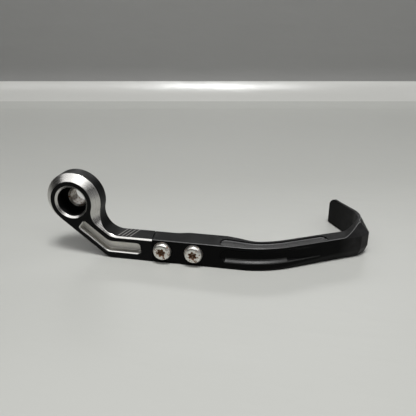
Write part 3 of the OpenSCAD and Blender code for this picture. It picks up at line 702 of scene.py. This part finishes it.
def bladeSections(d):
    # sixteen corners of each section: depth x behind the outer face and height z
    a, b = face(d)[:, :2], inner(d)
    t = np.linalg.norm(b - a, axis=1)
    e = blade["edge"]
    lastRun = table[-1][1]
    fall = blade["tipFall"] * np.maximum(0, d - begins[4]) / lastRun
    fall = fall + blade["tipR"] * (1 - quarter((bladeL - d) / blade["tipR"]))
    z0 = blade["tipLowR"] * (1 - quarter((bladeL - d) / blade["tipLowR"]))

    def high(x):
        planX = a[:, 0] + (b[:, 0] - a[:, 0]) * x / t
        ramp = ease((planX - rampTo) / blade["rampL"] + 1)
        rise = np.where(d > turnD, 1, ramp)
        return arm["height"] + (blade["tipH"] - arm["height"]) * rise - fall

    grow = ease((d - table[0][1]) / (cornerFrom - table[0][1]))
    bw = e + (blade["lowBevelW"] - e) * grow
    bh = e + (blade["lowBevelH"] - e) * grow
    crease = np.minimum(arm["height"] - e, high(0) - e)
    wider = 1 + blade["facetSpread"] * (
        ease((d - cornerFrom) / blade["nearFacet"]) * ease((turnD - d) / blade["nearFacet"])
    )
    facet = np.full(len(d), float(e))
    for _ in range(8):
        facet = np.maximum(e, (high(facet) - crease) * wider)
    facet = np.minimum(facet, t - e - blade["strip"])
    along = np.clip((d - panel["start"]) / panel["length"], 0, 1)
    ledge = panel["low"] + (panel["lowEnd"] - panel["low"]) * along
    wide = opening(d, panel["start"], panel["length"], (panel["high"] - panel["low"]) / 2)
    g = panel["depth"] * wide * (1 - ease(2 * along - 1))
    middle, reach = (ledge + panel["high"]) / 2, (panel["high"] - ledge) / 2 * np.maximum(wide, 0.3)
    gLow = np.maximum(z0 + bh + 0.05, middle - reach)
    gHigh = np.minimum(crease - 0.05, middle + reach)
    slope = np.minimum(panel["slope"], reach / 3)
    spread = opening(d, channel["start"], channel["length"], channel["width"] / 2)
    c = channel["depth"] * np.minimum(1, 2 * spread)
    flat = t - e - facet
    width = channel["width"] + channel["widen"] * (t - blade["thick"])
    room = np.minimum(width, flat - channel["rim"]) / 2
    slim = room < channel["rim"]
    cMid = facet + np.where(slim, flat / 2, channel["rim"] - e + room)
    cHalf = np.where(slim, flat / 4, room) * np.maximum(spread, 0.3)
    cSlope = np.minimum(channel["slope"], cHalf / 2)
    cBend = cMid + cHalf * (2 * channel["bend"] - 1)
    zero = 0 * d
    corners = [
        (bw, z0), (zero, z0 + bh), (zero, gLow), (g, gLow + slope), (g, gHigh - slope),
        (zero, gHigh), (zero, crease), (facet, high(facet)), (cMid - cHalf, high(cMid - cHalf)),
        (cBend, high(cBend) - c * channel["shoal"]),
        (cMid + cHalf - cSlope, high(cMid + cHalf - cSlope) - c), (cMid + cHalf, high(cMid + cHalf)),
        (t - e, high(t - e)), (t, high(t) - e), (t, z0 + e), (t - e, z0),
    ]
    chains = np.stack([np.column_stack(q) for q in corners], 1)
    soft = [0.9, 0.7, 0.35, 0.5, 0.5, 0.35, 0.3, 0.25, 0.2, 0.8, 0.5, 0.15, 0.25, 0.25, 0.3, 0.3]
    chains = roundCorners(chains, soft, 4, True)
    # both ends draw in on a small round: share 1 - sqrt(1 - u^2) of the round's radius
    u = np.maximum(1 - d / blade["endRound"], 1 - (bladeL - d) / blade["endRound"])
    pull = blade["endRound"] * (1 - np.sqrt(1 - np.clip(u, 0, 1) ** 2))
    centre = chains.mean(1, keepdims=True)
    size = np.abs(chains - centre).max(1, keepdims=True)
    chains = centre + (chains - centre) * (1 - pull[:, None, None] / size)
    share = chains[:, :, 0] / t[:, None]
    plan = a[:, None] * (1 - share[..., None]) + b[:, None] * share[..., None]
    return np.concatenate((plan, lowZ + chains[:, :, 1:]), 2)


def stations():
    # even spacing, with finer steps at the ends of the recesses, on the ramp and at the corners
    ends = 1 - np.cos(np.radians(np.linspace(0, 90, 12)))
    halfPanel, halfChannel = (panel["high"] - panel["low"]) / 2, channel["width"] / 2
    fine = [
        blade["endRound"] * ends, bladeL - blade["endRound"] * ends,
        bladeL - blade["tipR"] * ends, bladeL - blade["tipLowR"] * ends,
        panel["start"] + halfPanel * ends, channel["start"] + halfChannel * ends,
        channel["start"] + channel["length"] - halfChannel * ends,
        np.linspace(cornerFrom - blade["rampL"], cornerTo, 60), np.arange(0, bladeL, 1.2),
    ]
    for (begin, run, _), (_, turn, radius) in zip(table[1:], legs[1:]):
        fine.append(np.linspace(begin + run, begin + run + radius * np.radians(turn), 9))
    d = np.unique(np.round(np.concatenate(fine), 4))
    d = d[(d >= 0) & (d <= bladeL)]
    return d[np.concatenate(([True], np.diff(d) > 0.012))]


print("blade: a section carried along two paths")


def paintedHighlightStrips(d):
    # three of each corner's four strips are its round, the fourth the flat after it. Painted highlight
    # lies on the top edge (corner 7) all along; on the channel's floor and foot (8 to 10) and the ledge (2
    # and 3) only where their recess is open. 1 is painted sheen, 2 and 3 painted ledge and edge highlight
    middle = (d[1:] + d[:-1]) / 2
    along = (middle - panel["start"]) / panel["length"]
    floor = opening(middle, channel["start"], channel["length"], channel["width"] / 2) > 0.5
    strips = np.zeros((len(middle), 16, 4), bool)
    strips[:, 8, 3] = strips[:, 9, 3] = floor
    strips[:, 9:11, :3] = floor[:, None, None]
    strips = strips.astype(int)
    strips[:, 7, :3] = 3
    strips[:, 10, :3] *= 3
    strips[(along > 0.04) & (along < 0.95), 2, :3] = 2
    strips[(along > 0.05) & (along < 0.62), 2, 3] = 2
    strips[(along > 0.05) & (along < 0.62), 3, :3] = 2
    return strips.reshape(len(middle), 64)


bladeStations = stations()
bladePiece = buildPiece(
    "blade_moulding",
    [sheet(bladeSections(bladeStations), paintedHighlightStrips(bladeStations), False, True)],
    [plastic, paintedSheen, paintedLedgeHighlight, paintedEdgeHighlight],
    [(lambda p: p.x < 50, 0), (lambda p: p.x > 50, 0)], sharp=50,
)
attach(bladePiece, "root")
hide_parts("guard_blade")

screw = {
    "headR": 4.75, "headH": 2.75, "rim": 0.35, "driveR": 2.25, "lobeR": 0.643, "depth": 1.6,
    "shankR": 2.45, "shankL": 8, "lobes": 6,
}


def screwSheet(centre, turn):
    # rows of radius and height round the axis; the recess follows the six-lobe outline
    # R = max(c, c cos q + sqrt(l^2 - c^2 sin^2 q)), q being the angle to the nearest lobe
    s = screw
    angle = np.linspace(0, 2 * np.pi, 144, endpoint=False)
    pitch = 2 * np.pi / s["lobes"]
    q = (angle - turn + pitch / 2) % pitch - pitch / 2
    c = s["driveR"] - s["lobeR"]
    lobe = c * np.cos(q) + np.sqrt(np.maximum(s["lobeR"] ** 2 - (c * np.sin(q)) ** 2, 0))
    recess = np.where(abs(c * np.sin(q)) < s["lobeR"], np.maximum(lobe, c), c)
    crown = s["driveR"] + s["lobeR"]
    dome = np.radians(np.linspace(0, 90, 14))
    rows = [(0, -s["shankL"]), (s["shankR"] - 0.4, -s["shankL"]), (s["shankR"], 0.4 - s["shankL"]),
            (s["shankR"], 0), (s["headR"] - 0.1, 0), (s["headR"], 0.1)]
    across, up = s["headR"] - crown, s["headH"] - s["rim"]
    rows += [(crown + across * np.cos(v), s["rim"] + up * np.sin(v)) for v in dome]
    steel = len(rows)
    top = s["headH"]
    rows += [(recess + 0.2, top), (recess + 0.06, top - 0.03), (recess, top - 0.15),
             (recess * 0.96, top - s["depth"] + 0.15), (recess * 0.88, top - s["depth"]),
             (recess * 0.4, top - s["depth"] - 0.2), (0, top - s["depth"] - 0.35)]
    radius = np.stack([r + 0 * angle for r, _ in rows], 1)
    height = np.stack([h + 0 * angle for _, h in rows], 1)
    x = centre[0] + radius * np.cos(angle)[:, None]
    z = centre[1] + radius * np.sin(angle)[:, None]
    slots = np.zeros(len(rows) - 1, int)
    slots[steel + 1:] = 1
    return sheet(np.stack((x, frontY - height, z), -1), slots, True)


print("screws: domed heads with a six-lobe recess")
for node, turn in (("screw_near_eye", 0.2), ("screw_near_bend", 0.65)):
    low, high = (np.array(p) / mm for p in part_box(node))
    centre = ((low + high) / 2)[[0, 2]]
    piece = buildPiece(node + "_head", [screwSheet(centre, turn)], [screwSteel, recessRust])
    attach(piece, "root")
    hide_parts(node)

studio = {
    "camera": (112.6, -223.0, 90.2), "towards": (-0.18407, 0.90556, -0.38220), "lens": 41.713,
    "floorTint": (0.56, 0.565, 0.535), "wallTint": (0.29, 0.29, 0.282),
    "roundHighlightTint": (0.68, 0.68, 0.65), "sky": 0.03, "floorFrom": -1400, "floorTo": 392,
    "roundR": 50, "wallTop": 230, "halfWidth": 1700, "wallLean": 1,
}


def paleSurface(name, tint, roughness, specular):
    material, tree, shader = newMaterial(name, tint, roughness, 0.0, specular)
    cloud = noise(tree, coordinates(tree), 9, 2)
    low = [c * 0.97 for c in tint]
    tree.links.new(mixColours(tree, cloud, (*low, 1), (*tint, 1)), shader.inputs["Base Color"])
    ripple = noise(tree, coordinates(tree, "Object", (12, 40, 40)), 1.0, 3)
    bump(tree, shader, ripple, 0.2, 0.004)
    return material


def floorAndBackdrop():
    # level floor that turns up into a low, darker backdrop on a glossy round, square to the camera
    s, turn = studio, np.radians(np.linspace(6, 90, 15))
    flat, r = np.linspace(s["floorFrom"], s["floorTo"], 8), s["roundR"]
    run = np.concatenate((flat, s["floorTo"] + r * np.sin(turn), [s["floorTo"] + r + s["wallLean"]]))
    rise = np.concatenate((0 * flat, r - r * np.cos(turn), [s["wallTop"]]))
    width = np.linspace(-s["halfWidth"], s["halfWidth"], 5)
    x, k = np.meshgrid(width, np.arange(len(run)), indexing="ij")
    ahead = np.array(s["towards"][:2]) / np.hypot(*s["towards"][:2])
    middle = np.array(s["camera"][:2])
    along = run[k] - s["camera"][1]
    level = middle + x[..., None] * [ahead[1], -ahead[0]] + along[..., None] * ahead
    points = np.concatenate((level, (lowZ + rise[k])[..., None]), -1)
    # the round is painted lighter than the floor: a painted highlight band on top of its real gloss
    slots = np.repeat([0, 1, 2], [12, 6, 5])
    floor = buildPiece("floor", [sheet(points, slots)], [
        paleSurface("paleFloor", studio["floorTint"], 0.42, 0.5),
        paleSurface("glossyRound", studio["roundHighlightTint"], 0.3, 1.0),
        paleSurface("greyBackdrop", studio["wallTint"], 0.5, 0.3),
    ])
    floor.modifiers.clear()


def areaLamp(name, place, target, size, power):
    lamp = bpy.data.lights.new(name, "AREA")
    lamp.shape = "RECTANGLE"
    lamp.size, lamp.size_y = size[0] * mm, size[1] * mm
    lamp.energy = power
    holder = bpy.data.objects.new(name, lamp)
    holder.location = Vector(place) * mm
    holder.rotation_euler = (Vector(target) - Vector(place)).to_track_quat("-Z", "Y").to_euler()
    holder.visible_camera = False
    bpy.context.scene.collection.objects.link(holder)


def world():
    sky = bpy.data.worlds.new("studioSky")
    sky.use_nodes = True
    background = sky.node_tree.nodes["Background"]
    background.inputs["Color"].default_value = (1, 1, 0.98, 1)
    background.inputs["Strength"].default_value = studio["sky"]
    bpy.context.scene.world = sky


floorAndBackdrop()
world()
areaLamp("softCeiling", (50, -500, 1000), (50, -499, 0), (2900, 520), 8.4)
areaLamp("softKey", (150, -235, 1000), (40, 0, -10), (340, 280), 6.8)
areaLamp("softRear", (-80, 980, 400), (60, 0, -10), (1100, 320), 5.4)
areaLamp("softRight", (960, 365, 774), (140, 5, -18), (600, 600), 1.2)
areaLamp("softHorizon", (1150, -640, 150), (20, -15, -10), (1300, 520), 0.45)

camera = bpy.data.cameras.new("camera")
camera.lens = studio["lens"]
camera.sensor_width = 36
cameraObject = bpy.data.objects.new("camera", camera)
cameraObject.location = Vector(studio["camera"]) * mm
cameraObject.rotation_euler = Vector(studio["towards"]).to_track_quat("-Z", "Y").to_euler()
camera.clip_start = 0.01
bpy.context.scene.collection.objects.link(cameraObject)
bpy.context.scene.camera = cameraObject
bpy.context.scene.view_settings.view_transform = "Standard"
print("studio set")
